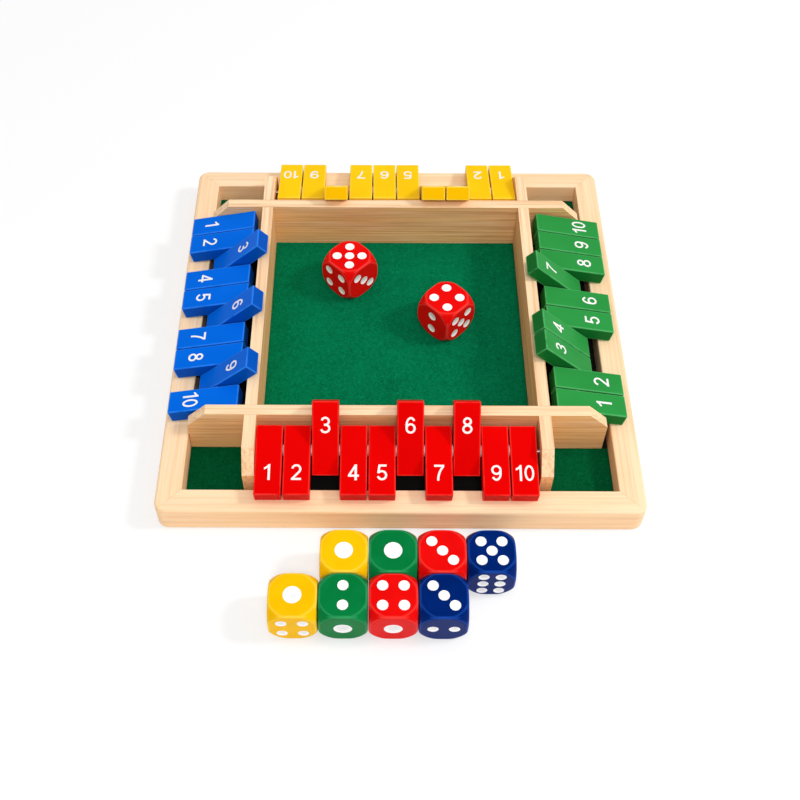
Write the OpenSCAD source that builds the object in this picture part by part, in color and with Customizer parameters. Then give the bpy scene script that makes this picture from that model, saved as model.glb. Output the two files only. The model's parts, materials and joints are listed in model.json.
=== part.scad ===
// Four-player shut the box game: a square wooden frame, a grid of four lapped boards
// that makes a felted tray and four corner pockets, four banks of ten numbered flaps
// on steel rods, and ten dice. Millimetres. The origin is the centre of the board's
// underside, +Z is up, and the front player sits on the -Y side.

/* [Outer frame] */
// Width of each rail of the outer frame, seen from above
rail_w = 15; // [12:0.5:24]
// Height of the rails above the table
rail_h = 18; // [13:0.5:24]
// Rounding of the frame's four upright corners
corner_r = 7; // [1:0.5:10]
// Rounding of the rails' long top edges
rail_edge_r = 2; // [0.4:0.1:3]

/* [Base and felt] */
// Thickness of the base panel
base_t = 4; // [2:0.5:6]
// How far the base panel is let into each rail
rebate_w = 5; // [2:0.5:9]
// Clearance between the base panel's edge and the rail's rebate
panel_gap = 0.1; // [0.05:0.05:1]
// Thickness of the felt
felt_t = 1; // [0.5:0.1:2.5]
// Clearance round each piece of felt
felt_gap = 0.2; // [0.1:0.1:2]

/* [Board grid] */
// Thickness of the four crossing boards
board_t = 7; // [6:0.5:12]
// How far the boards' top edges stand above the axle line
board_above_axle = 10; // [7:0.5:13]
// Length of the 45 degree chamfer at each board's top ends
chamfer = 11.5; // [2:0.5:14]
// Clearance on each side of a cross lap, and at its middle
lap_gap = 0.1; // [0.05:0.05:0.4]
// Gap between the cross boards' ends and the left rail
gap_left = 0.3; // [0.1:0.1:4]
// Gap between the cross boards' ends and the right rail
gap_right = 3.7; // [0.1:0.1:5]
// Gap between the long boards' ends and the front rail
gap_front = 3.8; // [0.1:0.1:5]
// Gap between the long boards' ends and the back rail
gap_back = 0.2; // [0.1:0.1:4]

/* [Flaps] */
// Number of flaps in each bank
flap_count = 10; // [8:1:12]
// Width of a flap along the axle
flap_w = 15.4; // [11:0.2:20]
// Thickness of a flap
flap_t = 9; // [6:0.5:12]
// Length of a flap from its axle to its numbered end
flap_out = 29; // [26:0.5:36]
// Length of a flap from its axle to its inner end
flap_in = 14; // [9:0.5:18]
// Rounding of a flap's edges
flap_edge_r = 0.6; // [0.3:0.1:2]
// How far a lying flap reaches over the rail, on average
rail_overlap = 9.9; // [6:0.1:11]
// Gap between a lying flap's numbered end and the rail below it
rest_gap = 0.1; // [0.05:0.05:0.5]
// Gap between a raised flap and the board that it leans on
lean_gap = 0.2; // [0.1:0.1:0.5]
// Clearance between the swing of a flap's inner end and the board
swing_gap = 3.3; // [1.5:0.1:6]
// Gap between flap 1 and the board beside it
first_gap = 0.3; // [0.2:0.1:2]
// Gap between the last flap and the board beside it
last_gap = 1.9; // [0.5:0.1:4]

/* [Axles and washers] */
// Height of the axles above the rails
axle_above_rail = 10; // [8:0.5:13]
// Diameter of the steel axle rods
rod_d = 2.5; // [2:0.1:4]
// Radial clearance between a rod and the flaps and washers on it
rod_run = 0.08; // [0.05:0.01:0.2]
// Radial clearance between a rod's end and its blind hole in a board
rod_seat = 0.05; // [0.02:0.01:0.2]
// Depth of the blind rod holes in the boards
rod_hole_depth = 5; // [2:0.5:5.5]
// Gap between a rod's end and the bottom of its blind hole
rod_end_gap = 0.2; // [0.1:0.1:1]
// Outer diameter of the washers between the flaps
washer_d = 7; // [5:0.5:8.5]
// Thickness of a washer
washer_t = 0.6; // [0.4:0.1:2]
// Play between a washer and the flap on each side of it
side_play = 0.1; // [0.05:0.05:0.4]

/* [Dice] */
// Side of a die
die_side = 26.5; // [16:0.5:28]
// Diameter of the ball that rounds a die's corners, as a share of its side
die_ball = 1.43; // [1.35:0.01:1.6]
// Diameter of a pip
pip_d = 6; // [3:0.1:6]
// Diameter of the single large pip
ace_d = 10; // [4:0.1:12]
// Depth of a pip
pip_depth = 0.6; // [0.2:0.1:1.2]
// Gap between neighbouring dice in a row
die_gap = 0.35; // [0.3:0.05:4]
// Distance from the frame's front to the back row of dice
row_distance = 15.4; // [5:0.1:60]
// Centre of the leftmost die of the front row
row_start = -58.2; // [-70:0.1:-40]

/* [Hidden] */
$fn = 48;
overcut = 1;

SIDES = ["red", "green", "yellow", "blue"];
SIDE_COLOURS = ["#e8161a", "#2f9e4f", "#f6c513", "#0a62d8"];
WOOD = "#e9c493";
FELT = "#0e6b46";
RAISED = [[3, 6, 8], [3, 4, 7], [3, 4, 8], [3, 6, 9]];

// Heights
axle_z = rail_h + axle_above_rail;
board_top = axle_z + board_above_axle;
board_h = board_top - base_t;
lap_z = base_t + board_h / 2;
felt_top = base_t + felt_t;

// The bank of flaps sets the tray, and the tray, the boards and the bays set the frame
flap_pitch = flap_w + washer_t + 2 * side_play;
bank_w = flap_count * flap_pitch - washer_t - 2 * side_play;
tray_side = first_gap + bank_w + last_gap;
grid_side = tray_side + 2 * board_t;

// A lying flap turns down until its rounded lower edge meets the rail
edge_out = flap_out - flap_edge_r;
edge_down = flap_t / 2 - flap_edge_r;
edge_drop = axle_above_rail - rest_gap - flap_edge_r;
lie_angle = asin(edge_drop / norm([edge_out, edge_down])) - atan2(edge_down, edge_out);

// A raised flap leans back until its face meets the board's outer top edge
axle_offset = norm([flap_in, flap_t / 2]) + swing_gap;
lean_reach = norm([axle_offset, board_above_axle]);
lean_angle = asin((flap_t / 2 + lean_gap) / lean_reach) + atan2(board_above_axle, axle_offset);

bay_w = axle_offset + flap_out * cos(lie_angle) - rail_overlap;
well_side = grid_side + 2 * bay_w;
frame_side = well_side + 2 * rail_w;
panel_side = well_side + 2 * (rebate_w - panel_gap);

// The grid sits a little off the frame's centre, by the gaps at its boards' ends
grid_at = [(gap_left - gap_right) / 2, (gap_front - gap_back) / 2, 0];
cross_l = well_side - gap_left - gap_right;
long_l = well_side - gap_front - gap_back;
bank_y = -(grid_side / 2 + axle_offset);
rod_l = tray_side + 2 * (rod_hole_depth - rod_end_gap);

// Dice: name, colour, place of the underside's centre, turn about the vertical, and the
// pips on the top, bottom, front, back, right and left. A minus turns a face's pips.
die_pitch = die_side + die_gap;
back_row_y = -frame_side / 2 - row_distance - die_side / 2;
front_row_y = back_row_y - die_pitch;
function row_x(place) = row_start + place * die_pitch;
DICE = [
  ["red_die_1", "#d8201c", [-31.8, 45.4, felt_top], 45, [5, 2, 3, 6, 1, 4]],
  ["red_die_2", "#d8201c", [30.5, 9.5, felt_top], 45, [4, 3, 5, 6, 1, 2]],
  ["yellow_die_1", "#f6c513", [row_x(0), front_row_y, 0], 0, [1, 6, 4, 3, 2, 5]],
  ["green_die_1", "#187a45", [row_x(1), front_row_y, 0], 0, [2, 5, 1, 6, 4, 3]],
  ["red_die_3", "#d8201c", [row_x(2), front_row_y, 0], 0, [4, 3, 1, 6, 2, 5]],
  ["blue_die_1", "#0a3f9e", [row_x(3), front_row_y, 0], 0, [3, 4, -2, 5, 6, 1]],
  ["yellow_die_2", "#f6c513", [row_x(1), back_row_y, 0], 0, [1, 6, 2, 5, 3, 4]],
  ["green_die_2", "#187a45", [row_x(2), back_row_y, 0], 0, [1, 6, 3, 4, 5, 2]],
  ["red_die_4", "#d8201c", [row_x(3), back_row_y, 0], 0, [3, 4, 2, 5, 6, 1]],
  ["blue_die_2", "#0a3f9e", [row_x(4), back_row_y, 0], 0, [5, 2, 6, 1, 4, 3]],
];

// Places of the pips on a face, as shares of the die's side
pip_spread = 0.216;
six_column = 0.175;
six_row = 0.29;
function pips(count) =
  count == 6 ? [for (x = [-1, 1], y = [-1:1]) [x * six_column, y * six_row]] :
  concat(
    count % 2 == 1 ? [[0, 0]] : [],
    count == 2 ? [[0, pip_spread], [0, -pip_spread]] : [],
    count > 2 ? [[-pip_spread, pip_spread], [pip_spread, -pip_spread]] : [],
    count > 3 ? [[pip_spread, pip_spread], [-pip_spread, -pip_spread]] : []
  );
FACE_TURNS = [[0, 0, 0], [180, 0, 0], [90, 0, 0], [90, 0, 180], [90, 0, 90], [90, 0, -90]];

function flap_name(side, number) = str(SIDES[side], "_flap_", number);
FIXED = [
  "base_panel", "felt_pads", "front_back_rails", "side_rails", "front_board",
  "back_board", "left_board", "right_board", "axle_rods", "spacer_washers"
];

// A rectangle with round corners, centred
module rounded_rect(w, h, r) {
  square([w - 2 * r, h], center = true);
  square([w, h - 2 * r], center = true);
  for (x = [-1, 1], y = [-1, 1])
    translate([x * (w / 2 - r), y * (h / 2 - r)]) circle(r);
}

// Side 0 is the front, and the others follow counter-clockwise round the grid
module at_side(side) {
  translate(grid_at) rotate(90 * side) children();
}

// A box given by two opposite corners
module block(low, high) {
  translate(low) cube(high - low);
}

module base_panel() {
  color("#1c1c1c") translate([0, 0, base_t / 2])
    cube([panel_side, panel_side, base_t], center = true);
}

module felt_pads() {
  inner = grid_side / 2 + felt_gap;
  outer = well_side / 2 - felt_gap;
  pad = tray_side - 2 * felt_gap;
  color(FELT) {
    translate(grid_at + [0, 0, base_t + felt_t / 2]) cube([pad, pad, felt_t], center = true);
    for (x = [-1, 1], y = [-1, 1]) {
      near = [grid_at[0] + x * inner, grid_at[1] + y * inner];
      far = [x * outer, y * outer];
      block(
        [min(near[0], far[0]), min(near[1], far[1]), base_t],
        [max(near[0], far[0]), max(near[1], far[1]), felt_top]
      );
    }
  }
}

// One mitred rail, on the frame's front
module rail() {
  half = frame_side / 2;
  well = well_side / 2;
  difference() {
    intersection() {
      linear_extrude(rail_h) polygon([[-half, -half], [half, -half], [well, -well], [-well, -well]]);
      linear_extrude(rail_h) rounded_rect(frame_side, frame_side, corner_r);
      translate([-half, -half + rail_w / 2, 0]) rotate([90, 0, 90])
        linear_extrude(frame_side) rounded_rect(rail_w, 2 * rail_h, rail_edge_r);
    }
    block([-half, -well - rebate_w, -overcut], [half, -well + overcut, base_t]);
  }
}

module front_back_rails() {
  color(WOOD) for (side = [0, 2]) rotate(90 * side) rail();
}

module side_rails() {
  color(WOOD) for (side = [1, 3]) rotate(90 * side) rail();
}

// The board between the tray and the bank of one side, with two lap notches and the
// blind holes for the rods of the two neighbouring banks
module board(board_l, notch_below) {
  half = board_l / 2;
  notch_z = notch_below ? [base_t - overcut, lap_z + lap_gap / 2] :
                          [lap_z - lap_gap / 2, board_top + overcut];
  color(WOOD) difference() {
    translate([0, -tray_side / 2, 0]) rotate([90, 0, 0]) linear_extrude(board_t)
      polygon([
        [-half, base_t], [half, base_t], [half, board_top - chamfer],
        [half - chamfer, board_top], [-half + chamfer, board_top], [-half, board_top - chamfer]
      ]);
    for (x = [-1, 1]) {
      translate([x * (tray_side + board_t) / 2, 0, 0]) block(
        [-board_t / 2 - lap_gap, -grid_side / 2 - overcut, notch_z[0]],
        [board_t / 2 + lap_gap, -tray_side / 2 + overcut, notch_z[1]]
      );
      translate([x * bank_y, -tray_side / 2 - rod_hole_depth, axle_z]) rotate([-90, 0, 0])
        cylinder(r = rod_d / 2 + rod_seat, h = rod_hole_depth + overcut);
    }
  }
}

module front_board() {
  at_side(0) board(cross_l, true);
}

module right_board() {
  at_side(1) board(long_l, false);
}

module back_board() {
  at_side(2) board(cross_l, true);
}

module left_board() {
  at_side(3) board(long_l, false);
}

module axle_rods() {
  color("silver") for (side = [0:3])
    at_side(side) translate([0, bank_y, axle_z]) rotate([0, 90, 0])
      cylinder(d = rod_d, h = rod_l, center = true);
}

// Middle of a flap along its bank
function flap_x(number) = -tray_side / 2 + first_gap + flap_w / 2 + (number - 1) * flap_pitch;

module spacer_washers() {
  color("white") for (side = [0:3], number = [1:flap_count - 1])
    at_side(side) translate([flap_x(number) + flap_pitch / 2, bank_y, axle_z]) rotate([0, 90, 0])
      difference() {
        cylinder(d = washer_d, h = washer_t, center = true);
        cylinder(r = rod_d / 2 + rod_run, h = washer_t + 2 * overcut, center = true);
      }
}

// A flap lies flat here, with its axle at the origin and its numbered end towards -Y
module flap_bar() {
  length = flap_out + flap_in;
  difference() {
    translate([0, (flap_in - flap_out) / 2, 0]) intersection() {
      linear_extrude(flap_t, center = true) rounded_rect(flap_w, length, flap_edge_r);
      rotate([90, 0, 0]) linear_extrude(length, center = true)
        rounded_rect(flap_w, flap_t, flap_edge_r);
      rotate([90, 0, 90]) linear_extrude(flap_w, center = true)
        rounded_rect(length, flap_t, flap_edge_r);
    }
    rotate([0, 90, 0]) cylinder(r = rod_d / 2 + rod_run, h = flap_w + 2 * overcut, center = true);
  }
}

module flap(side, number) {
  raised = len(search(number, RAISED[side])) > 0;
  turn = raised ? lean_angle - 180 : lie_angle;
  color(SIDE_COLOURS[side]) at_side(side)
    translate([flap_x(number), bank_y, axle_z]) rotate([turn, 0, 0]) flap_bar();
}

// A shallow ball-shaped pip, sunk in the face at z = 0
module pip(d) {
  ball_r = (d * d / 4 + pip_depth * pip_depth) / (2 * pip_depth);
  translate([0, 0, ball_r - pip_depth]) sphere(ball_r);
}

module die(spec) {
  faces = spec[4];
  color(spec[1]) translate(spec[2] + [0, 0, die_side / 2]) rotate(spec[3]) difference() {
    intersection() {
      cube(die_side, center = true);
      sphere(d = die_ball * die_side);
    }
    for (face = [0:5]) rotate(FACE_TURNS[face]) translate([0, 0, die_side / 2])
      rotate(faces[face] < 0 ? 90 : 0)
        for (at = pips(abs(faces[face])))
          translate([at[0] * die_side, at[1] * die_side, 0]) pip(faces[face] == 1 ? ace_d : pip_d);
  }
}

base_panel();
felt_pads();
front_back_rails();
side_rails();
front_board();
back_board();
left_board();
right_board();
axle_rods();
spacer_washers();
for (side = [0:3], number = [1:flap_count])
  flap(side, number);
for (spec = DICE)
  die(spec);
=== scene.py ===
"""The looks of a four-player shut the box game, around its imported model.

Blender works in metres. Sizes here are in millimetres, and many of them are read from the
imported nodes. Every piece is built in its own local frame, with +X along the grain of its
wood, and is then put in place by its matrix.
"""
import json
import math

import bmesh
import bpy
import numpy as np
from mathutils import Matrix, Vector, noise


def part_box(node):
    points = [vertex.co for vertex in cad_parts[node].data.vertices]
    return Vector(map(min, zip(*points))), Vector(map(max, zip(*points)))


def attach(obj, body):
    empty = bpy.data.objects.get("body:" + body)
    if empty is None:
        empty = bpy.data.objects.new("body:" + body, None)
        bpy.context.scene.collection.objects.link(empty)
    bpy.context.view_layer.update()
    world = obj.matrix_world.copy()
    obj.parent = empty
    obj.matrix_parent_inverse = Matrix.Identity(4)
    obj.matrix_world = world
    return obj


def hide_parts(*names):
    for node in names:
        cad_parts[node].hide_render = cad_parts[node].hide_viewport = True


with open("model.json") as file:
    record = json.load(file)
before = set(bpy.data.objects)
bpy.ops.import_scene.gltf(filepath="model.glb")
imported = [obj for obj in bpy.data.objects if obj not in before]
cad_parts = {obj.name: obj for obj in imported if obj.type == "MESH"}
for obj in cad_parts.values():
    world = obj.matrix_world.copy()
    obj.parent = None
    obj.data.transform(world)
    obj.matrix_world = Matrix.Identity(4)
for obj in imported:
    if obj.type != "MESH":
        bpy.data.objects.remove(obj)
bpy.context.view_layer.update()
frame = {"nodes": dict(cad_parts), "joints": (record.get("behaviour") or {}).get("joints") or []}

MM = 0.001
BOARD = "board"
SIDES = ("red", "green", "yellow", "blue")
NUMBERS = range(1, 11)
GRID_BOARDS = ("left_board", "right_board", "front_board", "back_board")
JOINTS = {joint["name"]: joint for joint in frame["joints"]}

# Sizes that the nodes' boxes don't give, as the part's source has them
RAIL_W = 15.0
RAIL_EDGE = 2.0
RAIL_INNER_EDGE = 0.8
CORNER_R = 7.0
REBATE_W = 5.0
BOARD_CHAMFER = 11.5
BOARD_EDGE = 0.8
ROD_D = 2.5
ROD_SEAT = 4.8
WASHER_D = 7.0
WASHER_T = 0.6
FLAP_EDGE = 0.6
BORE_R = 1.33
DIE_SIDE = 26.5
DIE_BALL = 0.715
DIE_EDGE = 1.1
PIP_D = 6.0
ACE_D = 10.0
PIP_DEPTH = 0.6


# ---------------------------------------------------------------- camera and lamps

CAMERA_AT = (-14.0, -465.8, 567.7)
CAMERA_DOWN = 53.66
CAMERA_TURN = 0.29
CAMERA_REACH_M = (0.01, 20)
FOCAL_PX = 1126.5
IMAGE_PX = 800
SHIFT_PX = 27.05
SENSOR_MM = 36.0
# Each lamp's place, aim and width in metres, and its power in watts
LAMPS = {
    "key": ((1.25, -0.05, 1.25), (0, 0, 0), 0.3, 11.5),
    "front": ((0.1, -1.1, 1.6), (0, -0.1, 0), 0.4, 8.5),
    "glint": ((-0.05, -1.0, 1.5), (0, -0.1, 0), 0.06, 1.4),
}


def make_camera():
    data = bpy.data.cameras.new("camera")
    data.sensor_width = SENSOR_MM
    data.lens = FOCAL_PX / IMAGE_PX * SENSOR_MM
    data.shift_x = SHIFT_PX / IMAGE_PX
    data.clip_start, data.clip_end = CAMERA_REACH_M
    camera = bpy.data.objects.new("camera", data)
    camera.location = Vector(CAMERA_AT) * MM
    camera.rotation_euler = (math.radians(90 - CAMERA_DOWN), 0, math.radians(CAMERA_TURN))
    bpy.context.collection.objects.link(camera)
    bpy.context.scene.camera = camera


def make_lamps():
    for name, (at, aim, width, power) in LAMPS.items():
        data = bpy.data.lights.new(name, "AREA")
        data.shape = "DISK"
        data.size = width
        data.energy = power
        lamp = bpy.data.objects.new(name, data)
        lamp.location = at
        lamp.rotation_euler = (Vector(aim) - Vector(at)).to_track_quat("-Z", "Y").to_euler()
        bpy.context.collection.objects.link(lamp)


# ---------------------------------------------------------------- colour and nodes

PIECE_SHIFT = 977.0


def srgb(red, green, blue):
    """A colour given as 0 to 255, in the linear values that Blender's sockets take."""
    def linear(value):
        value /= 255
        return value / 12.92 if value <= 0.04045 else ((value + 0.055) / 1.055) ** 2.4
    return (linear(red), linear(green), linear(blue), 1.0)


class Nodes:
    """A short way to write the node tree of a material or a world."""

    def __init__(self, owner):
        owner.use_nodes = True
        self.owner = owner
        self.tree = owner.node_tree

    def feed(self, socket, value):
        """Links an output to a socket, or sets a plain value on it."""
        if isinstance(value, bpy.types.NodeSocket):
            self.tree.links.new(value, socket)
        else:
            socket.default_value = value

    def add(self, kind, inputs=None, **settings):
        node = self.tree.nodes.new(kind)
        for key, value in settings.items():
            setattr(node, key, value)
        for key, value in (inputs or {}).items():
            self.feed(node.inputs[key], value)
        return node

    def math(self, operation, *values):
        return self.add("ShaderNodeMath", dict(enumerate(values)), operation=operation).outputs[0]

    def fold(self, operation, first, *others):
        """An operation on two values, done for a whole row of them."""
        for other in others:
            first = self.math(operation, first, other)
        return first

    def middle(self, *values):
        """The middle one of three values."""
        total, least, most = (self.fold(kind, *values) for kind in ("ADD", "MINIMUM", "MAXIMUM"))
        return self.math("SUBTRACT", self.math("SUBTRACT", total, least), most)

    def vector(self, operation, *values):
        node = self.add("ShaderNodeVectorMath", dict(enumerate(values)), operation=operation)
        return node.outputs["Value" if operation == "LENGTH" else "Vector"]

    def split(self, vector):
        return self.add("ShaderNodeSeparateXYZ", {0: vector}).outputs

    def mix(self, factor, a, b):
        node = self.add("ShaderNodeMix", data_type="RGBA")
        sockets = {socket.identifier: socket for socket in node.inputs}
        for key, value in (("Factor_Float", factor), ("A_Color", a), ("B_Color", b)):
            self.feed(sockets[key], value)
        return next(s for s in node.outputs if s.identifier == "Result_Color")

    def tint(self, base, colour, mask, share):
        """The base with a share of a colour laid over it where the mask is 1."""
        return self.mix(self.math("MULTIPLY", mask, share), base, colour)

    def ramp(self, value, low, high, start=0.0, end=1.0):
        """A number that runs from start, where the value is low, to end, where it is high."""
        inputs = {0: value, 1: low, 2: high, 3: start, 4: end}
        return self.add("ShaderNodeMapRange", inputs).outputs[0]

    def near(self, distance, surface, start, full):
        """1 up to full millimetres inside a surface, falling to 0 at start millimetres."""
        return self.ramp(distance, (surface - start) * MM, (surface - full) * MM)

    def own(self):
        """The point in the piece's own frame, in metres."""
        return self.add("ShaderNodeTexCoord").outputs["Object"]

    def place(self, scale, shift):
        """The point in millimetres, stretched, and shifted from piece to piece."""
        random = self.add("ShaderNodeObjectInfo").outputs["Random"]
        offset = self.math("MULTIPLY_ADD", random, PIECE_SHIFT, shift)
        moved = self.add("ShaderNodeCombineXYZ", {0: offset, 1: offset, 2: offset}).outputs[0]
        scaled = self.vector("MULTIPLY", self.own(), [share / MM for share in scale])
        return self.vector("ADD", scaled, moved)

    def noise(self, scale, detail=3.0, rough=0.5, shift=0.0, distortion=0.0):
        inputs = {
            "Vector": self.place(scale, shift), "Scale": 1.0, "Detail": detail,
            "Roughness": rough, "Distortion": distortion,
        }
        return self.add("ShaderNodeTexNoise", inputs).outputs["Fac"]

    def bump(self, height, strength, distance, normal=None):
        inputs = {"Height": height, "Strength": strength, "Distance": distance * MM}
        if normal is not None:
            inputs["Normal"] = normal
        return self.add("ShaderNodeBump", inputs).outputs[0]

    def set(self, **inputs):
        """The material, with its shader's sockets fed."""
        shader = self.tree.nodes["Principled BSDF"]
        for key, value in inputs.items():
            self.feed(shader.inputs[key.replace("_", " ")], value)
        return self.owner


def new_material(name):
    return Nodes(bpy.data.materials.new(name))


# ---------------------------------------------------------------- materials

BROAD_STREAK = srgb(234, 184, 140)
LATE_WOOD = srgb(212, 152, 100)
EARLY_WOOD = srgb(255, 232, 202)
DARK_FIBRE = srgb(184, 124, 72)


def pine(name, tops, shaded_upright_tones, grain, side_grain):
    """Pale pine: long uneven streaks of its rings, fine fibres and a satin lacquer.

    It has two tones on level faces and two deeper ones on upright faces, which is painted shade.
    side_grain is the strength of the grain on upright faces, against 1 on level ones.
    """
    n = new_material(name)
    broad = n.noise((0.0045, 0.2, 0.2), detail=2.0, shift=31.0, distortion=0.4)
    rings = n.noise((0.011, 0.62, 0.62), detail=3.0, rough=0.55, shift=17.0, distortion=0.25)
    fibre = n.noise((0.035, 2.2, 2.2), detail=4.0, rough=0.6, shift=7.0)
    tone = n.noise((0.008, 0.05, 0.05), detail=2.0, shift=13.0)
    upward = n.split(n.add("ShaderNodeNewGeometry").outputs["Normal"])["Z"]
    level = n.ramp(n.math("ABSOLUTE", upward), 0.3, 0.8)
    weight = n.math("MULTIPLY_ADD", level, 1.0 - side_grain, side_grain)
    drift = n.ramp(tone, 0.35, 0.65)
    # Painted shade: upright faces take the deeper tones, picked by the face's direction in the
    # world
    base = n.mix(level, n.mix(drift, *shaded_upright_tones), n.mix(drift, *tops))
    broadly = n.tint(base, BROAD_STREAK, n.ramp(broad, 0.45, 0.65), 0.4 * grain)
    late = n.ramp(rings, 0.5, 0.68)
    ringed = n.tint(broadly, LATE_WOOD, n.math("MULTIPLY", late, weight), 0.42 * grain)
    pale = n.tint(ringed, EARLY_WOOD, n.ramp(rings, 0.46, 0.3), 0.4)
    fine = n.math("MULTIPLY", n.ramp(fibre, 0.54, 0.72), weight)
    return n.set(
        Base_Color=n.tint(pale, DARK_FIBRE, fine, 0.28 * grain),
        Roughness=n.math("MULTIPLY_ADD", fibre, 0.16, 0.4),
        Normal=n.bump(fibre, 0.22, 0.08, n.bump(late, 0.12, 0.12)),
        Specular_IOR_Level=0.1,
    )


def felt(name, tones, light, dark):
    """Short-pile felt: tangled fibres, slight clouds of tone, and hardly any gloss."""
    n = new_material(name)
    cloud = n.noise((0.03, 0.03, 0.03), detail=3.0, rough=0.6, shift=3.0)
    tangle = n.noise((0.5, 0.5, 0.5), detail=5.0, rough=0.8, shift=5.0, distortion=1.5)
    hair = n.noise((2.2, 0.7, 2.2), detail=3.0, rough=0.7, shift=9.0, distortion=2.0)
    clouded = n.mix(n.ramp(cloud, 0.3, 0.7), *tones)
    mottled = n.mix(n.ramp(tangle, 0.42, 0.68), clouded, light)
    return n.set(
        Base_Color=n.tint(mottled, dark, n.ramp(hair, 0.48, 0.72), 0.4),
        Roughness=0.95,
        Normal=n.bump(hair, 0.5, 0.25, n.bump(tangle, 0.7, 0.4)),
        Specular_IOR_Level=0.02,
    )


def black_panel():
    """Thin fibreboard, coloured near black, with a trace of brush marks."""
    n = new_material("black_panel")
    brush = n.noise((0.03, 1.2, 1.2), detail=3.0, rough=0.6)
    return n.set(
        Base_Color=n.mix(n.ramp(brush, 0.3, 0.8), srgb(9, 9, 9), srgb(22, 21, 20)),
        Roughness=0.7,
        Normal=n.bump(brush, 0.2, 0.1),
        Specular_IOR_Level=0.25,
    )


def paint(name, full, worn, side, edge, gloss):
    """Satin paint on a flap: the grain shows through, the edges carry a painted highlight in
    patches, and the narrow faces and ends a painted shade.
    """
    n = new_material(name)
    x, y, z = n.split(n.own())
    along = n.math("SUBTRACT", x, (FLAP_OUT - FLAP_IN) / 2 * MM)
    halves = ((FLAP_OUT + FLAP_IN) / 2, FLAP_W / 2, FLAP_T / 2)
    # How deep a point is below each pair of faces. The middle one is its distance to an edge.
    depths = [
        n.math("SUBTRACT", half * MM, n.math("ABSOLUTE", place))
        for half, place in zip(halves, (along, y, z))
    ]
    patches = n.noise((0.12, 0.12, 0.12), detail=3.0, rough=0.6, shift=21.0)
    drift = n.noise((0.02, 0.03, 0.03), detail=2.0)
    grain = n.noise((0.06, 1.4, 1.4), detail=4.0, rough=0.6, shift=5.0)
    peel = n.noise((0.5, 0.5, 0.5), detail=2.0, shift=11.0)
    # Painted highlight: a paler colour along the edges, broken into patches
    at_edge = n.ramp(n.middle(*depths), 0.95 * MM, 0.35 * MM)
    painted_edge_highlight = n.math("MULTIPLY", at_edge, n.ramp(patches, 0.25, 0.5))
    broad = n.mix(n.ramp(drift, 0.3, 0.7), full, worn)
    # Painted shade: the side colour on the narrow faces and ends, away from the broad faces
    painted_side_shade = n.mix(n.ramp(depths[2], 0.3 * MM, 0.9 * MM), broad, side)
    streaked = n.tint(painted_side_shade, worn, n.ramp(grain, 0.45, 0.8), 0.18)
    return n.set(
        Base_Color=n.tint(streaked, edge, painted_edge_highlight, 0.6),
        Roughness=n.math("MULTIPLY_ADD", peel, 0.14, 0.3),
        Normal=n.bump(grain, 0.12, 0.1, n.bump(peel, 0.12, 0.15)),
        Specular_IOR_Level=0.05,
        Specular_Tint=gloss,
    )


def die_depths(n):
    """A point's largest and middle distance from a die's centre planes, and from its centre."""
    at = n.own()
    planes = [n.math("ABSOLUTE", value) for value in n.split(at)]
    return n.fold("MAXIMUM", *planes), n.middle(*planes), n.vector("LENGTH", at)


def polish(name, full, deep, edge, gloss):
    """Polished resin: a clear gloss, a colour deeper in places, and a painted highlight along its
    edges and creases.
    """
    n = new_material(name)
    half, ball = DIE_SIDE / 2, DIE_SIDE * DIE_BALL
    largest, middle, out = die_depths(n)
    # Painted highlight: a paler colour along the straight edges and the creases of the ball cut
    straight = n.near(middle, half, 1.5, 0.7)
    ball_crease_highlight = n.math("MULTIPLY", n.near(out, ball, 0.8, 0.2), n.near(largest, half, 0.5, 0.1))
    drift = n.noise((0.06, 0.06, 0.06), detail=2.0)
    scuff = n.noise((0.8, 0.8, 0.8), detail=4.0, rough=0.6, shift=4.0)
    colour = n.mix(n.ramp(drift, 0.35, 0.65), full, deep)
    return n.set(
        Base_Color=n.tint(colour, edge, n.math("MAXIMUM", straight, ball_crease_highlight), 0.6),
        Roughness=n.math("MULTIPLY_ADD", scuff, 0.1, 0.13),
        Normal=n.bump(scuff, 0.04, 0.1),
        Specular_IOR_Level=0.06,
        Specular_Tint=gloss,
    )


def white_paint():
    """The numerals' white ink, not quite even."""
    n = new_material("white_paint")
    patch = n.noise((0.7, 0.7, 0.7), detail=3.0, rough=0.6)
    return n.set(
        Base_Color=n.mix(n.ramp(patch, 0.3, 0.7), srgb(238, 235, 232), srgb(249, 247, 244)),
        Roughness=0.45,
        Normal=n.bump(patch, 0.06, 0.1),
        Specular_IOR_Level=0.2,
    )


def pip_paint():
    """White pip paint, greyer in the bottom of each dish, which is painted shade."""
    n = new_material("pip_paint")
    patch = n.noise((0.7, 0.7, 0.7), detail=3.0, rough=0.6)
    # Painted shade: greyer towards the bottom of the dish
    rim = n.near(die_depths(n)[0], DIE_SIDE / 2, PIP_DEPTH, 0.15)
    return n.set(
        Base_Color=n.mix(rim, srgb(236, 235, 236), srgb(255, 254, 253)),
        Roughness=0.4,
        Normal=n.bump(patch, 0.06, 0.1),
        Specular_IOR_Level=0.2,
    )


def nylon():
    """The washers' dull white plastic."""
    n = new_material("white_nylon")
    cloud = n.noise((0.4, 0.4, 0.4), detail=2.0)
    return n.set(
        Base_Color=n.mix(cloud, srgb(232, 226, 216), srgb(214, 206, 196)),
        Roughness=0.4,
        Normal=n.bump(cloud, 0.05, 0.05),
    )


def steel():
    """Drawn steel rod, with fine scratches along it."""
    n = new_material("steel")
    scratch = n.noise((0.05, 8.0, 8.0), detail=3.0, rough=0.7)
    return n.set(
        Base_Color=n.mix(scratch, srgb(214, 214, 216), srgb(186, 186, 190)),
        Metallic=1.0,
        Roughness=n.math("MULTIPLY_ADD", scratch, 0.2, 0.2),
        Normal=n.bump(scratch, 0.1, 0.03),
    )


# The upright tones of both woods are deeper than the level ones: painted shade
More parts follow.
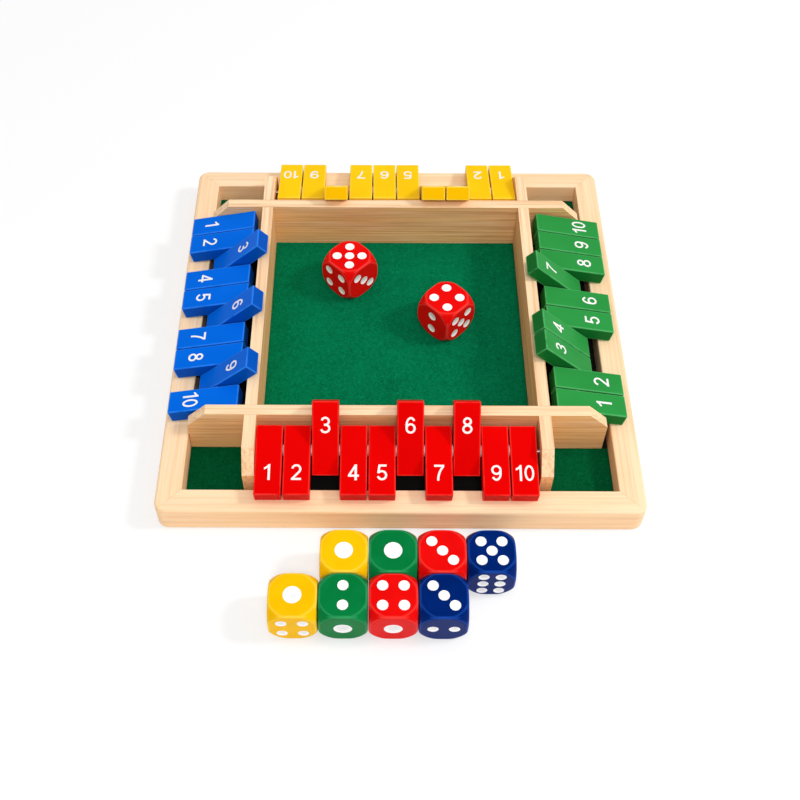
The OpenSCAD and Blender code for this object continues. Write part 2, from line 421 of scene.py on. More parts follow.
RAIL_WOOD = pine(
    "rail_pine", tops=(srgb(254, 223, 184), srgb(252, 215, 172)),
    shaded_upright_tones=(srgb(255, 217, 172), srgb(254, 210, 162)), grain=0.55, side_grain=1.0,
)
BOARD_WOOD = pine(
    "board_pine", tops=(srgb(254, 223, 182), srgb(252, 215, 172)),
    shaded_upright_tones=(srgb(255, 203, 140), srgb(250, 193, 126)), grain=1.15, side_grain=1.55,
)
TRAY_FELT = felt(
    "tray_felt", tones=(srgb(0, 92, 56), srgb(1, 106, 66)),
    light=srgb(8, 134, 88), dark=srgb(0, 68, 40),
)
# The pocket felt is darker than the tray's: painted shade for the deep corner pockets
SHADED_POCKET_FELT = felt(
    "pocket_felt", tones=(srgb(0, 70, 38), srgb(0, 80, 44)),
    light=srgb(5, 102, 60), dark=srgb(0, 50, 26),
)
WHITE = white_paint()
PIP_WHITE = pip_paint()
NYLON = nylon()
STEEL = steel()
# In each polish, edge is a painted highlight along the dice's edges and creases
POLISHES = {
    "red": polish(
        "red_dice", full=srgb(232, 14, 12), deep=srgb(222, 9, 9),
        edge=srgb(250, 74, 66), gloss=srgb(255, 90, 75),
    ),
    "yellow": polish(
        "yellow_dice", full=srgb(250, 192, 8), deep=srgb(244, 184, 6),
        edge=srgb(255, 216, 84), gloss=srgb(255, 215, 80),
    ),
    "green": polish(
        "green_dice", full=srgb(8, 124, 62), deep=srgb(5, 115, 54),
        edge=srgb(58, 160, 100), gloss=srgb(90, 255, 160),
    ),
    "blue": polish(
        "blue_dice", full=srgb(2, 36, 110), deep=srgb(1, 31, 98),
        edge=srgb(30, 78, 172), gloss=srgb(70, 130, 255),
    ),
}


# ---------------------------------------------------------------- mesh helpers

# Angles in degrees above which an edge between two faces is shaded as a sharp one
SHARP_PLAIN = 32
SHARP_GLYPH = 30
SHARP_ROUND = 60
SHARP_PIP_RIM = 14
# The angle above which an edge is rounded
BEVEL_ABOVE = 20


def box_mm(node):
    low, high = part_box(node)
    return low / MM, high / MM


def rotation(axis, degrees):
    return Matrix.Rotation(math.radians(degrees), 4, axis)


def shade(mesh, sharp):
    """Smooth shading, with the edges above an angle kept sharp."""
    mesh.shade_smooth()
    mesh.set_sharp_from_angle(angle=math.radians(sharp))


def to_mesh(name, shape, material, sharp=SHARP_PLAIN):
    """A bmesh in millimetres becomes a shaded mesh in metres."""
    bmesh.ops.recalc_face_normals(shape, faces=shape.faces)
    shape.transform(Matrix.Scale(MM, 4))
    mesh = bpy.data.meshes.new(name)
    shape.to_mesh(mesh)
    shape.free()
    mesh.materials.append(material)
    shade(mesh, sharp)
    return mesh


def move_mm(mesh, matrix):
    """Moves the points of a mesh by a matrix in millimetres."""
    for step in (Matrix.Scale(1 / MM, 4), matrix, Matrix.Scale(MM, 4)):
        mesh.transform(step)


def place(name, mesh, at=Matrix(), even=True):
    """An object of the mesh, put in place by a matrix in millimetres."""
    piece = bpy.data.objects.new(name, mesh)
    bpy.context.collection.objects.link(piece)
    matrix = at.copy()
    matrix.translation *= MM
    piece.matrix_world = matrix
    if even:
        normals = piece.modifiers.new("even_normals", "WEIGHTED_NORMAL")
        normals.keep_sharp = True
    return piece


def finish_piece(piece, body, slot, *nodes):
    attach(piece, body)
    if nodes:
        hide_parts(*nodes)
    return piece


def axes(x, y, z, at=(0, 0, 0)):
    """The matrix whose columns are three directions, with a place."""
    matrix = Matrix((x, y, z)).transposed().to_4x4()
    matrix.translation = Vector(at)
    return matrix


def bridge(shape, near, far):
    """A closed band of faces between two rings of as many points each."""
    size = len(near)
    for i in range(size):
        j = (i + 1) % size
        shape.faces.new((near[i], near[j], far[j], far[i]))


def loft(sections):
    """A solid through closed sections of as many points each, with its two ends capped."""
    shape = bmesh.new()
    rings = [[shape.verts.new(point) for point in section] for section in sections]
    for near, far in zip(rings, rings[1:]):
        bridge(shape, near, far)
    shape.faces.new(rings[0])
    shape.faces.new(reversed(rings[-1]))
    return shape


def closed_loft(sections):
    """A solid through closed sections, the last of which leads back to the first."""
    shape = bmesh.new()
    rings = [[shape.verts.new(point) for point in section] for section in sections]
    for near, far in zip(rings, rings[1:] + rings[:1]):
        bridge(shape, near, far)
    return shape


def prism(outline, low, high):
    """A flat outline in X and Y, between two heights."""
    return loft([[(x, y, height) for x, y in outline] for height in (low, high)])


def lathe(profile, steps):
    """A closed profile of (radius, x) points, turned about the X axis."""
    turns = [math.tau * i / steps for i in range(steps)]
    return closed_loft([
        [(x, r * math.cos(turn), r * math.sin(turn)) for r, x in profile] for turn in turns
    ])


def combine(mesh, cutters, operation):
    """A mesh joined with or cut by others, each closed. The cutters' materials come along."""
    piece = bpy.data.objects.new("work", mesh)
    bpy.context.collection.objects.link(piece)
    helpers = []
    for cutter in cutters:
        helper = bpy.data.objects.new("cutter", cutter)
        bpy.context.collection.objects.link(helper)
        helpers.append(helper)
        step = piece.modifiers.new("step", "BOOLEAN")
        step.operation = operation
        step.solver = "EXACT"
        step.material_mode = "TRANSFER"
        step.object = helper
    graph = bpy.context.evaluated_depsgraph_get()
    result = bpy.data.meshes.new_from_object(piece.evaluated_get(graph))
    result.name = mesh.name
    for helper in [piece, *helpers]:
        bpy.data.objects.remove(helper)
    return result


def bevel(shape, width, steps, chosen=lambda edge: True):
    """Rounds the chosen edges where two faces meet at an angle."""
    least = math.radians(BEVEL_ABOVE)
    edges = [
        edge for edge in shape.edges
        if edge.is_manifold and edge.calc_face_angle() > least and chosen(edge)
    ]
    bmesh.ops.bevel(
        shape, geom=edges, offset=width, segments=steps, profile=0.5,
        affect="EDGES", clamp_overlap=True,
    )


# ---------------------------------------------------------------- frame, boards and felt

BASE_T = box_mm("base_panel")[1].z
FRAME_HALF = box_mm("front_back_rails")[1].y
RAIL_H = box_mm("front_back_rails")[1].z
RAIL_FOOT = 0.6
# The middle point of the softened foot, as a share of it
FOOT_SHARE = 0.3
ARC_STEPS = 6
MITRE_GAP = 0.06
CORNER_STEPS = 7
LENGTH_STEPS = 24
LAP_GAP = 0.1
BOARD_EDGE_STEPS = 3
# How close two places are that count as one
NEARLY = 0.01
RAILS = (
    ("front_rail", "front_back_rails"), ("right_rail", "side_rails"),
    ("back_rail", "front_back_rails"), ("left_rail", "side_rails"),
)
# The boards that cross each board
CROSSINGS = {
    "front_board": ("left_board", "right_board"), "back_board": ("left_board", "right_board"),
    "left_board": ("front_board", "back_board"), "right_board": ("front_board", "back_board"),
}


def rail_profile():
    """A rail's section: for each point an edge, the distance in from it, and the height."""
    def rounded(edge, radius, sign, first, last):
        points = []
        for i in range(ARC_STEPS + 1):
            turn = math.radians(first + (last - first) * i / ARC_STEPS)
            inset = radius * (1 - math.cos(turn))
            points.append((edge, sign * inset, RAIL_H - radius * (1 - math.sin(turn))))
        return points
    return [
        ("outer", RAIL_FOOT, 0.0),
        ("outer", RAIL_FOOT * FOOT_SHARE, RAIL_FOOT * FOOT_SHARE),
        ("outer", 0.0, RAIL_FOOT),
        *rounded("outer", RAIL_EDGE, 1, 0, 90),
        *rounded("inner", RAIL_INNER_EDGE, -1, 90, 0),
        ("inner", 0.0, BASE_T), ("inner", -REBATE_W, BASE_T), ("inner", -REBATE_W, 0.0),
    ]


def rail_stations():
    """Outer and inner points along the -Y side, from mitre to mitre and round the corners."""
    well = FRAME_HALF - RAIL_W
    centre = FRAME_HALF - CORNER_R
    corner = []
    for i in range(CORNER_STEPS + 1):
        turn = math.radians(45 + 45 * i / CORNER_STEPS)
        x, y = -centre - CORNER_R * math.cos(turn), -centre - CORNER_R * math.sin(turn)
        corner.append((Vector((x, y)), Vector((-well, -well))))
    straight = []
    for i in range(1, LENGTH_STEPS):
        x = -well + 2 * well * i / LENGTH_STEPS
        straight.append((Vector((x, -FRAME_HALF)), Vector((x, -well))))
    mirrored = [
        (Vector((-outer.x, outer.y)), Vector((-inner.x, inner.y)))
        for outer, inner in reversed(corner)
    ]
    return corner + straight + mirrored


def rail_mesh():
    """One mitred rail on the -Y side, with a fine open line at each mitre."""
    stations = rail_stations()
    steps = {0: MITRE_GAP, len(stations) - 1: -MITRE_GAP}
    sections = []
    for at, (outer, inner) in enumerate(stations):
        across = (inner - outer).normalized()
        section = []
        for edge, inset, height in rail_profile():
            point = (outer if edge == "outer" else inner) + across * inset
            section.append((point.x + steps.get(at, 0.0), point.y, height))
        sections.append(section)
    return to_mesh("rail", loft(sections), RAIL_WOOD)


def make_rails():
    mesh = rail_mesh()
    for side, (name, node) in enumerate(RAILS):
        piece = place(name, mesh, rotation("Z", 90 * side))
        finish_piece(piece, BOARD, "pine", node)


def make_boards():
    """Four crossing boards with chamfered top ends and half-lap notches."""
    for name, others in CROSSINGS.items():
        low, high = box_mm(name)
        along = 1 if "front_board" in others else 0
        across = 1 - along
        middle = (low + high) / 2
        half = (high[along] - low[along]) / 2
        half_t = (high[across] - low[across]) / 2
        lap = (low.z + high.z) / 2
        spans = []
        for other in others:
            near, far = (corner[along] - middle[along] for corner in box_mm(other))
            spans.append((near - LAP_GAP, far + LAP_GAP))
        # The outline has X along the board and Y up, and is drawn counter-clockwise.
        # Boards along X are notched from below, and the others from above.
        bottom, top = [(-half, low.z)], [(half - BOARD_CHAMFER, high.z)]
        if along == 0:
            notch = lap + LAP_GAP / 2
            for a, b in spans:
                bottom += [(a, low.z), (a, notch), (b, notch), (b, low.z)]
        else:
            notch = lap - LAP_GAP / 2
            for a, b in reversed(spans):
                top += [(b, high.z), (b, notch), (a, notch), (a, high.z)]
        bottom += [(half, low.z), (half, high.z - BOARD_CHAMFER)]
        top += [(-half + BOARD_CHAMFER, high.z), (-half, high.z - BOARD_CHAMFER)]
        shape = prism(bottom + top, -half_t, half_t)

        def in_notch(edge):
            return all(
                any(a - NEARLY < vert.co.x < b + NEARLY for a, b in spans) for vert in edge.verts
            )
        bevel(shape, BOARD_EDGE, BOARD_EDGE_STEPS, lambda edge: not in_notch(edge))
        at = rotation("X", 90)
        if along == 1:
            at = rotation("Z", 90) @ at
        at.translation = Vector((middle.x, middle.y, 0))
        mesh = to_mesh(name + "_mesh", shape, BOARD_WOOD)
        finish_piece(place(name + "_wood", mesh, at), BOARD, "pine", name)


FELT_GRID = 2.0
FELT_GAP = 0.2
FELT_WAVE = 0.06
FELT_WAVE_SCALE = 0.15
FELT_EDGE_DROP = 0.25
FELT_FRAY = 0.06
FELT_FRAY_SCALE = 3
FELT_FRAY_SHIFT = Vector((9, 9, 9))
# Each pad's column and row among the lines of the boards and rails
PADS = {
    "tray_felt": (2, 2), "front_left_felt": (0, 0), "front_right_felt": (4, 0),
    "back_left_felt": (0, 4), "back_right_felt": (4, 4),
}


def fray(at):
    return FELT_FRAY * (1 + noise.noise(at))


def felt_mesh(name, width, depth, thickness, cloth):
    """A cut piece of felt: fine unevenness on top, slightly wavy cut edges."""
    shape = bmesh.new()
    nx, ny = (max(4, round(size / FELT_GRID)) for size in (width, depth))
    top = [
        [
            shape.verts.new((width * (i / nx - 0.5), depth * (j / ny - 0.5), thickness))
            for j in range(ny + 1)
        ]
        for i in range(nx + 1)
    ]
    for i in range(nx):
        for j in range(ny):
            shape.faces.new((top[i][j], top[i + 1][j], top[i + 1][j + 1], top[i][j + 1]))
    for vert in shape.verts:
        at = vert.co * FELT_WAVE_SCALE + Vector((width, depth, 0))
        vert.co.z += FELT_WAVE * (noise.noise(at) - 1)
        if min(width / 2 - abs(vert.co.x), depth / 2 - abs(vert.co.y)) < NEARLY:
            at = at * FELT_FRAY_SCALE
            vert.co.x -= math.copysign(fray(at), vert.co.x)
            vert.co.y -= math.copysign(fray(at + FELT_FRAY_SHIFT), vert.co.y)
            vert.co.z -= FELT_EDGE_DROP
    rim = [edge for edge in shape.edges if edge.is_boundary]
    skirt = bmesh.ops.extrude_edge_only(shape, edges=rim)["geom"]
    for vert in (item for item in skirt if isinstance(item, bmesh.types.BMVert)):
        vert.co.z = 0
    bmesh.ops.holes_fill(shape, edges=[edge for edge in shape.edges if edge.is_boundary])
    return to_mesh(name, shape, cloth, SHARP_ROUND)


def make_felt():
    """A pad for the tray and one for each corner pocket."""
    low, high = box_mm("felt_pads")
    walls = {name: box_mm(name) for name in GRID_BOARDS}

    def lines(axis, first, second):
        (first_low, first_high), (second_low, second_high) = walls[first], walls[second]
        return (
            low[axis], first_low[axis] - FELT_GAP, first_high[axis] + FELT_GAP,
            second_low[axis] - FELT_GAP, second_high[axis] + FELT_GAP, high[axis],
        )
    xs = lines(0, "left_board", "right_board")
    ys = lines(1, "front_board", "back_board")
    for name, (i, j) in PADS.items():
        width, depth = xs[i + 1] - xs[i], ys[j + 1] - ys[j]
        # The pocket pads take the darker felt, which is painted shade
        cloth = TRAY_FELT if name == "tray_felt" else SHADED_POCKET_FELT
        mesh = felt_mesh(name + "_mesh", width, depth, high.z - low.z, cloth)
        at = Matrix.Translation(((xs[i] + xs[i + 1]) / 2, (ys[j] + ys[j + 1]) / 2, low.z))
        piece = finish_piece(place(name, mesh, at, even=False), BOARD, "green_felt", "felt_pads")


# ---------------------------------------------------------------- numerals

# A stroke's width as a share of the numeral's height, and the longest reach of its corners
STROKE = 0.125
MITRE_LIMIT = 0.4
CURVE_STEPS = 24
RING_POINTS = 48
INK_T = 0.12
INK_SUNK = 0.06


def stroke_shape(points, low, high, closed):
    """A stroke along a centre line, as a closed solid between two heights."""
    points = [Vector(p) for p in points]
    count = len(points)
    sections = []
    for i, point in enumerate(points):
        before = points[i - 1] if closed or i else None
        after = points[(i + 1) % count] if closed or i < count - 1 else None
        out = (after - point).normalized() if after is not None else None
        into = (point - before).normalized() if before is not None else out
        out = out if out is not None else into
        normal = Vector((-(into + out).y, (into + out).x)).normalized()
        reach = STROKE / 2 / max(MITRE_LIMIT, normal.dot(Vector((-out.y, out.x))))
        a, b = point + normal * reach, point - normal * reach
        sections.append([(a.x, a.y, low), (a.x, a.y, high), (b.x, b.y, high), (b.x, b.y, low)])
    return closed_loft(sections) if closed else loft(sections)


def arc(centre, radii, first, last, steps=CURVE_STEPS):
    """Points along an ellipse, from one angle to another, in degrees."""
    turns = [math.radians(first + (last - first) * i / steps) for i in range(steps + 1)]
    return [
        (centre[0] + radii[0] * math.cos(turn), centre[1] + radii[1] * math.sin(turn))
        for turn in turns
    ]


def ring(centre, radii):
    last = 360 - 360 / RING_POINTS
    return {"closed": True, "points": arc(centre, radii, 0, last, RING_POINTS - 1)}


def bar(*points):
    return {"points": points}


def outline(*points):
    return {"outline": points}


def turned(parts):
    """The parts turned half a turn about the glyph's middle."""
    return [{**part, "points": [(-x, 1 - y) for x, y in part["points"]]} for part in parts]


SIX = [
    ring((0.0, 0.315), (0.24, 0.2475)),
    bar((-0.24, 0.315), *arc((0.015, 0.5), (0.255, 0.4325), 180, 38)),
]
# Strokes of each numeral, one unit high, with its middle at x = 0
GLYPHS = {
    "0": [ring((0.0, 0.5), (0.235, 0.4325))],
    "1": [outline(
        (0.0, 0.0), (0.14, 0.0), (0.14, 1.0), (0.035, 1.0), (-0.02, 0.92),
        (-0.11, 0.845), (-0.225, 0.785), (-0.225, 0.66), (-0.1, 0.71), (0.0, 0.775),
    )],
    "2": [
        bar(*arc((0.0, 0.69), (0.235, 0.2425), 172, -42), (-0.21, 0.1)),
        bar((-0.3, 0.0675), (0.3, 0.0675)),
    ],
    "3": [
        bar(*arc((-0.01, 0.72), (0.21, 0.2125), 165, -88)),
        bar(*arc((-0.01, 0.29), (0.245, 0.2225), 88, -165)),
        bar((-0.09, 0.51), (0.03, 0.51)),
    ],
    "4": [
        outline((0.065, 0.0), (0.205, 0.0), (0.205, 1.0), (0.065, 1.0)),
        outline((-0.32, 0.225), (0.32, 0.225), (0.32, 0.352), (-0.32, 0.352)),
        outline((-0.319, 0.33), (-0.17, 0.33), (0.085, 0.78), (0.085, 0.999)),
    ],
    "5": [
        outline((-0.2, 0.872), (0.265, 0.872), (0.265, 1.0), (-0.2, 1.0)),
        outline((-0.215, 0.999), (-0.285, 0.46), (-0.15, 0.44), (-0.085, 0.999)),
        bar(*arc((-0.005, 0.325), (0.245, 0.2575), 140, -165)),
    ],
    "6": SIX,
    "7": [
        outline((-0.3, 0.872), (0.3, 0.872), (0.3, 1.0), (-0.3, 1.0)),
        bar((0.25, 0.9), (0.11, 0.71), (0.01, 0.48), (-0.055, 0.24), (-0.075, 0.0)),
    ],
    "8": [ring((0.0, 0.745), (0.2, 0.1875)), ring((0.0, 0.285), (0.24, 0.2175))],
    "9": turned(SIX),
}


def glyph_mesh(glyph):
    """A numeral as one closed solid, partly sunk below z = 0."""
    solids = []
    for part in GLYPHS[glyph]:
        if "outline" in part:
            shape = prism(part["outline"], -INK_SUNK, INK_T)
        else:
            shape = stroke_shape(part["points"], -INK_SUNK, INK_T, part.get("closed", False))
        solids.append(to_mesh("glyph_part", shape, WHITE, SHARP_GLYPH))
    return solids[0] if len(solids) == 1 else combine(solids[0], solids[1:], "UNION")


# ---------------------------------------------------------------- flaps and axles

NUMERAL_H = 9.6
NUMERAL_FROM_END = 13.7
TEN_SCALE = 0.96
TEN_OFFSETS = (("1", -0.325), ("0", 0.25))
FLAP_EDGE_STEPS = 4
# The radius that stands for none, on the axis of a turned shape
ON_AXIS = 0.001
ROD_CHAMFER = 0.3
WASHER_CHAMFER = 0.15
BORE_STEPS = 32
ROD_STEPS = 40


def direction(face):
    """The line that a face looks along, the same for both sides of a block."""
    return tuple(round(abs(value), 2) for value in face.normal)


def flap_pose(name):
    """The place of a flap's axle, and three directions.

    They run along the axle, from it to the numbered end, and off the broad face.
    """
    joint = JOINTS[name + "_hinge"]
    at = Vector(joint["pos_m"]) / MM
    along = Vector(joint["axis"]).normalized()
    mesh = frame["nodes"][name].data
    middle = sum((v.co / MM - at for v in mesh.vertices), Vector()) / len(mesh.vertices)
    areas = {}
    for face in mesh.polygons:
        if abs(face.normal.dot(along)) < 0.1:
            areas[direction(face)] = areas.get(direction(face), 0) + face.area
    broad = max(areas, key=areas.get)
    matches = [face for face in mesh.polygons if direction(face) == broad]
    normal = max(matches, key=lambda face: face.area).normal.normalized()
    out = along.cross(normal).normalized()
    if out.dot(middle) < 0:
        out = -out
    return at, along, out, along.cross(out)


def flap_sizes():
    """Width, thickness, and the reach from the axle to the numbered end and the inner end."""
    at, along, out, up = flap_pose("red_flap_1")
    points = [v.co / MM - at for v in frame["nodes"]["red_flap_1"].data.vertices]
    (w0, w1), (t0, t1), (inner, outer) = (
        (min(p.dot(way) for p in points), max(p.dot(way) for p in points))
        for way in (along, up, out)
    )
    return w1 - w0, t1 - t0, outer, -inner


FLAP_W, FLAP_T, FLAP_OUT, FLAP_IN = flap_sizes()
# In each paint, side is a painted shade for the narrow faces and ends, and edge a painted
# highlight along the edges
PAINTS = {
    "red": paint(
        "red_paint", full=srgb(228, 4, 3), worn=srgb(219, 2, 3), side=srgb(214, 2, 2),
        edge=srgb(255, 66, 58), gloss=srgb(255, 60, 50),
    ),
    "green": paint(
        "green_paint", full=srgb(46, 147, 68), worn=srgb(40, 137, 61), side=srgb(20, 110, 44),
        edge=srgb(98, 188, 116), gloss=srgb(120, 255, 150),
    ),
    "yellow": paint(
        "yellow_paint", full=srgb(253, 206, 8), worn=srgb(248, 196, 5), side=srgb(250, 190, 4),
        edge=srgb(255, 226, 96), gloss=srgb(255, 215, 60),
    ),
    "blue": paint(
        "blue_paint", full=srgb(2, 106, 226), worn=srgb(0, 98, 214), side=srgb(0, 82, 186),
        edge=srgb(58, 142, 250), gloss=srgb(60, 150, 255),
    ),
}
GLYPH_MESHES = {glyph: glyph_mesh(glyph) for glyph in GLYPHS}


def flap_mesh(colour):
    """A flap with its axle along Y through the origin, and +X to its numbered end."""
    shape = bmesh.new()
    bmesh.ops.create_cube(shape, size=1)
    for vert in shape.verts:
        x = FLAP_OUT if vert.co.x > 0 else -FLAP_IN
        vert.co = Vector((x, vert.co.y * FLAP_W, vert.co.z * FLAP_T))
    bevel(shape, FLAP_EDGE, FLAP_EDGE_STEPS)
    solid = to_mesh(colour + "_flap", shape, PAINTS[colour])
    radii = ((ON_AXIS, -FLAP_W), (BORE_R, -FLAP_W), (BORE_R, FLAP_W), (ON_AXIS, FLAP_W))
    pin = lathe(radii, BORE_STEPS)
    pin.transform(rotation("Z", 90))
    mesh = combine(solid, [to_mesh("bore", pin, PAINTS[colour])], "DIFFERENCE")
    shade(mesh, SHARP_PLAIN)
    return mesh


def numeral_mesh(number):
    """The numeral of a flap on both of its broad faces, in the flap's own frame."""
    glyphs = [(str(number), 0.0)] if number < 10 else TEN_OFFSETS
    width = 1.0 if number < 10 else TEN_SCALE
    shape = bmesh.new()
    for face in (1, -1):
        # The numeral's top is towards the axle on the upper face, and away from it below
        up = Vector((-face, 0, 0))
        off = Vector((0, 0, face))
        right = up.cross(off)
        for glyph, offset in glyphs:
            mesh = GLYPH_MESHES[glyph].copy()
            at = Vector((FLAP_OUT - NUMERAL_FROM_END, 0, face * FLAP_T / 2))
            at += right * offset * NUMERAL_H - up * NUMERAL_H / 2
            mesh.transform(Matrix.Scale(1 / MM, 4))
            mesh.transform(axes(right * NUMERAL_H * width, up * NUMERAL_H, off, at))
            shape.from_mesh(mesh)
    return to_mesh(f"numeral_{number}", shape, WHITE, SHARP_GLYPH)


def make_flaps():
    numerals = {number: numeral_mesh(number) for number in NUMBERS}
    for side in SIDES:
        mesh = flap_mesh(side)
        for number in NUMBERS:
            name = f"{side}_flap_{number}"
            at, along, out, up = flap_pose(name)
            matrix = axes(out, up.cross(out), up, at)
            block = place(name + "_block", mesh, matrix)
            finish_piece(block, name, side + "_paint", name)
            ink = place(name + "_numerals", numerals[number], matrix, even=False)
            finish_piece(ink, name, "white")


def rod_shape(half):
    r = ROD_D / 2
    return lathe([
        (ON_AXIS, -half), (r - ROD_CHAMFER, -half), (r, -half + ROD_CHAMFER),
        (r, half - ROD_CHAMFER), (r - ROD_CHAMFER, half), (ON_AXIS, half),
    ], ROD_STEPS)


def washer_shape():
    r, t = WASHER_D / 2, WASHER_T / 2
    return lathe([
        (BORE_R, -t), (r - WASHER_CHAMFER, -t), (r, -t + WASHER_CHAMFER),
        (r, t - WASHER_CHAMFER), (r - WASHER_CHAMFER, t), (BORE_R, t),
    ], ROD_STEPS)


def make_axles():
    """A rod through each bank, and a washer between each two of its flaps."""
    walls = {name: box_mm(name) for name in GRID_BOARDS}
    left, right = walls["left_board"][1].x, walls["right_board"][0].x
    front, back = walls["front_board"][1].y, walls["back_board"][0].y
    middle = Vector(((left + right) / 2, (front + back) / 2, 0))
    rod_mesh = to_mesh("rod", rod_shape((right - left) / 2 + ROD_SEAT), STEEL)
    washer_mesh = to_mesh("washer", washer_shape(), NYLON)
    up = Vector((0, 0, 1))
    for side in SIDES:
        poses = [flap_pose(f"{side}_flap_{number}") for number in NUMBERS]
        spots = [pose[0] for pose in poses]
        along = poses[0][1]
        at = axes(along, up.cross(along), up)
        at.translation = spots[0] + along * (middle - spots[0]).dot(along)
        finish_piece(place(side + "_rod", rod_mesh, at), BOARD, "steel", "axle_rods")
        for number, near, far in zip(NUMBERS, spots, spots[1:]):
            at.translation = (near + far) / 2
            name = f"{side}_washer_{number}"
            finish_piece(place(name, washer_mesh, at), BOARD, "white", "spacer_washers")


# ---------------------------------------------------------------- dice

# Turn about the vertical, and the pips on the top, bottom, front, back, right and left.
# A minus turns a face's pips by a quarter.
DICE = {
    "red_die_1": (45, (5, 2, 3, 6, 1, 4)),
    "red_die_2": (45, (4, 3, 5, 6, 1, 2)),
    "yellow_die_1": (0, (1, 6, 4, 3, 2, 5)),
    "green_die_1": (0, (2, 5, 1, 6, 4, 3)),
    "red_die_3": (0, (4, 3, 1, 6, 2, 5)),
    "blue_die_1": (0, (3, 4, -2, 5, 6, 1)),
    "yellow_die_2": (0, (1, 6, 2, 5, 3, 4)),
    "green_die_2": (0, (1, 6, 3, 4, 5, 2)),
    "red_die_4": (0, (3, 4, 2, 5, 6, 1)),
    "blue_die_2": (0, (5, 2, 6, 1, 4, 3)),
}
# The turns about X and then Z that bring the top face to each of the six
FACE_TURNS = ((0, 0), (180, 0), (90, 0), (90, 180), (90, 90), (90, -90))
PIP_SPREAD = 0.216
SIX_COLUMN = 0.175
SIX_ROW = 0.29
PIP_RINGS = 7
PIP_POINTS = 36
DIE_GRID = 44
DIE_BLEND = 0.9
HALVINGS = 40


def pip_places(count):
    """Places of the pips on a face, as shares of the die's side."""
    if count == 6:
        return [(x * SIX_COLUMN, y * SIX_ROW) for x in (-1, 1) for y in (-1, 0, 1)]
    s = PIP_SPREAD
    places = [(0, 0)] if count % 2 else []
    if count == 2:
        places += [(0, s), (0, -s)]
    if count > 2:
        places += [(-s, s), (s, -s)]
    if count > 3:
        places += [(s, s), (-s, -s)]
    return places


def die_distance(points, side):
    """How far points lie outside a die: a cube with rounded edges, its corners cut by a ball."""
    q = np.abs(points) - (side / 2 - DIE_EDGE)
    cube = np.linalg.norm(np.maximum(q, 0), axis=1) + np.minimum(q.max(axis=1), 0) - DIE_EDGE
    ball = np.linalg.norm(points, axis=1) - DIE_BALL * side
    near = np.maximum(DIE_BLEND - np.abs(cube - ball), 0) / DIE_BLEND
    return np.maximum(cube, ball) + near * near * DIE_BLEND / 4


def die_body(side, colour):
    """A cube's grid, each point moved along its ray to the die's surface."""
    shape = bmesh.new()
    bmesh.ops.create_cube(shape, size=2)
    bmesh.ops.subdivide_edges(shape, edges=shape.edges, cuts=DIE_GRID - 1, use_grid_fill=True)
    # The tangent evens out the spacing of the rays
    rays = np.tan(np.array([vert.co for vert in shape.verts], float) * math.pi / 4)
    rays /= np.linalg.norm(rays, axis=1)[:, None]
    # Along each ray the surface lies between these two distances
    near, far = np.full(len(rays), side * 0.4), np.full(len(rays), side)
    for _ in range(HALVINGS):
        middle = (near + far) / 2
        outside = die_distance(rays * middle[:, None], side) > 0
        far = np.where(outside, middle, far)
        near = np.where(outside, near, middle)
    for vert, co in zip(shape.verts, rays * near[:, None]):
        vert.co = co
    return to_mesh("die", shape, POLISHES[colour], SHARP_ROUND)


def pip_cutter(diameter):
    """A shallow ball that sinks a pip. Its rim is at z = 0, and one more ring stands above."""
    reach, depth = diameter / 2, PIP_DEPTH
    radius = (reach * reach + depth * depth) / (2 * depth)
    shape = bmesh.new()
    bottom = shape.verts.new((0, 0, -depth))
    turns = [math.tau * i / PIP_POINTS for i in range(PIP_POINTS)]
    rows = []
    for i in range(1, PIP_RINGS + 1):
        tilt = math.asin(reach / radius) * i / (PIP_RINGS - 1)
        r, z = radius * math.sin(tilt), radius - depth - radius * math.cos(tilt)
        rows.append([shape.verts.new((r * math.cos(t), r * math.sin(t), z)) for t in turns])
    for i in range(PIP_POINTS):
        j = (i + 1) % PIP_POINTS
        shape.faces.new((bottom, rows[0][j], rows[0][i]))
        for near, far in zip(rows, rows[1:]):
            shape.faces.new((near[i], near[j], far[j], far[i]))
    shape.faces.new(rows[-1])
    return to_mesh("pip", shape, PIP_WHITE, SHARP_ROUND)


def pip_cutters(side, faces):
    """The cutters for all the pips of a die, in its own frame."""
    cutters = []
    for (about_x, about_z), count in zip(FACE_TURNS, faces):
        face = rotation("Z", about_z) @ rotation("X", about_x)
        face = face @ Matrix.Translation((0, 0, side / 2))
        if count < 0:
            face = face @ rotation("Z", 90)
        for x, y in pip_places(abs(count)):
            cutter = pip_cutter(ACE_D if count == 1 else PIP_D)
            move_mm(cutter, face @ Matrix.Translation((x * side, y * side, 0)))
            cutters.append(cutter)
    return cutters


def make_dice():
    for name, (yaw, faces) in DICE.items():
        low, high = box_mm(name)
        side = high.z - low.z
        colour = name.split("_")[0]
        mesh = combine(die_body(side, colour), pip_cutters(side, faces), "DIFFERENCE")
        shade(mesh, SHARP_PIP_RIM)
        at = rotation("Z", yaw)
        at.translation = (low + high) / 2
        finish_piece(place(name + "_body", mesh, at, even=False), name, colour + "_dice", name)


# ---------------------------------------------------------------- stage

# Strengths of the surround at the horizon and overhead, as it lights
SKY_LOW = 0.28
SKY_HIGH = 0.86
# Its strength for gloss, which falls from 1 at the horizon to this at the given height
GLOSSY_HIGH = 0.12
GLOSSY_HEIGHT = 0.6
TABLE_TONE = 0.95
TABLE_HALF = 4000
TABLE_DROP = 0.2
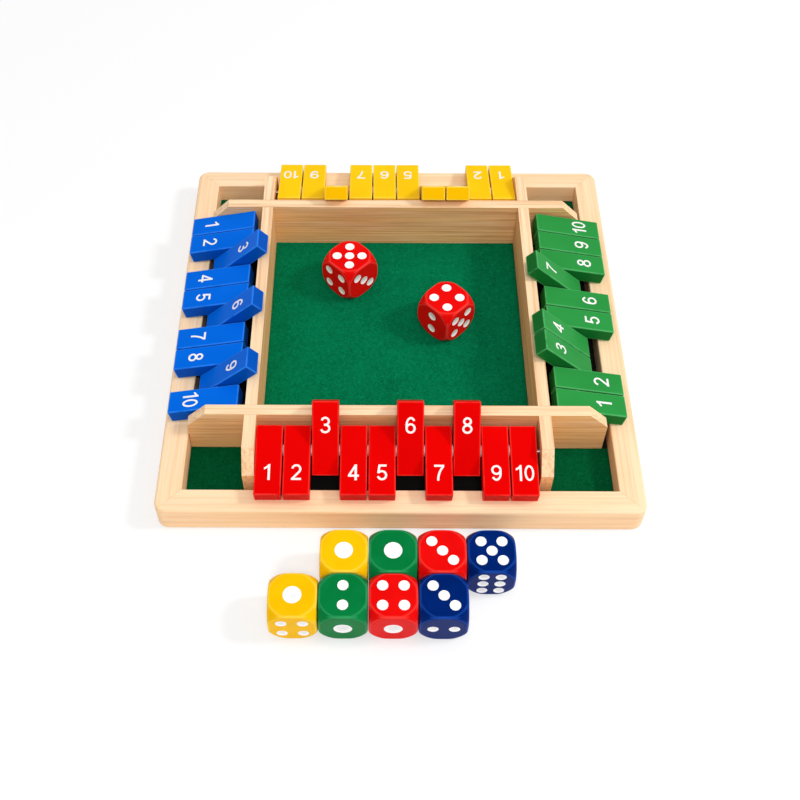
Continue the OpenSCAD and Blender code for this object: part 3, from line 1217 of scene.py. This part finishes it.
# The share of plain white in the table near the board, and where it rises to 1, in metres
NEAR_WHITE = 0.5
WHITE_FROM_M, WHITE_TO_M = 0.3, 1.1


def make_world():
    """A white surround, brighter above, that gloss sees low down."""
    world = bpy.data.worlds.new("surround")
    bpy.context.scene.world = world
    n = Nodes(world)
    rays = n.add("ShaderNodeLightPath").outputs
    height = n.split(n.add("ShaderNodeTexCoord").outputs["Generated"])["Z"]
    lit = n.ramp(height, 0.0, 1.0, SKY_LOW, SKY_HIGH)
    seen = n.ramp(height, 0.0, GLOSSY_HEIGHT, 1.0, GLOSSY_HIGH)
    glossy = n.ramp(rays["Is Glossy Ray"], 0.0, 1.0, lit, seen)
    background = n.tree.nodes["Background"].inputs
    n.feed(background["Color"], (1, 1, 1, 1))
    n.feed(background["Strength"], n.ramp(rays["Is Camera Ray"], 0.0, 1.0, glossy, 1.0))


def make_table():
    """A white table that keeps soft shadows near the board."""
    n = new_material("table")
    to_camera = n.add("ShaderNodeLightPath").outputs["Is Camera Ray"]
    white = n.add("ShaderNodeEmission", {"Color": (1, 1, 1, 1), "Strength": 1.0})
    cloth = n.add("ShaderNodeBsdfDiffuse", {"Color": (TABLE_TONE, TABLE_TONE, TABLE_TONE, 1)})
    far = n.ramp(n.vector("LENGTH", n.own()), WHITE_FROM_M, WHITE_TO_M)
    level = n.math("MULTIPLY_ADD", far, 1 - NEAR_WHITE, NEAR_WHITE)
    share = n.math("MULTIPLY", to_camera, level)
    seen = n.add("ShaderNodeMixShader", {0: share, 1: cloth.outputs[0], 2: white.outputs[0]})
    n.feed(n.tree.nodes["Material Output"].inputs["Surface"], seen.outputs[0])
    shape = bmesh.new()
    bmesh.ops.create_grid(shape, x_segments=1, y_segments=1, size=TABLE_HALF)
    table = place("table", to_mesh("table", shape, n.owner), even=False)
    table.location.z = -TABLE_DROP * MM


make_camera()
make_lamps()
make_world()
make_table()
make_rails()
make_boards()
make_felt()
make_axles()
make_flaps()
make_dice()

panel = frame["nodes"]["base_panel"]
panel.data.materials.clear()
panel.data.materials.append(black_panel())

settings = bpy.context.scene.view_settings
settings.view_transform = "Standard"
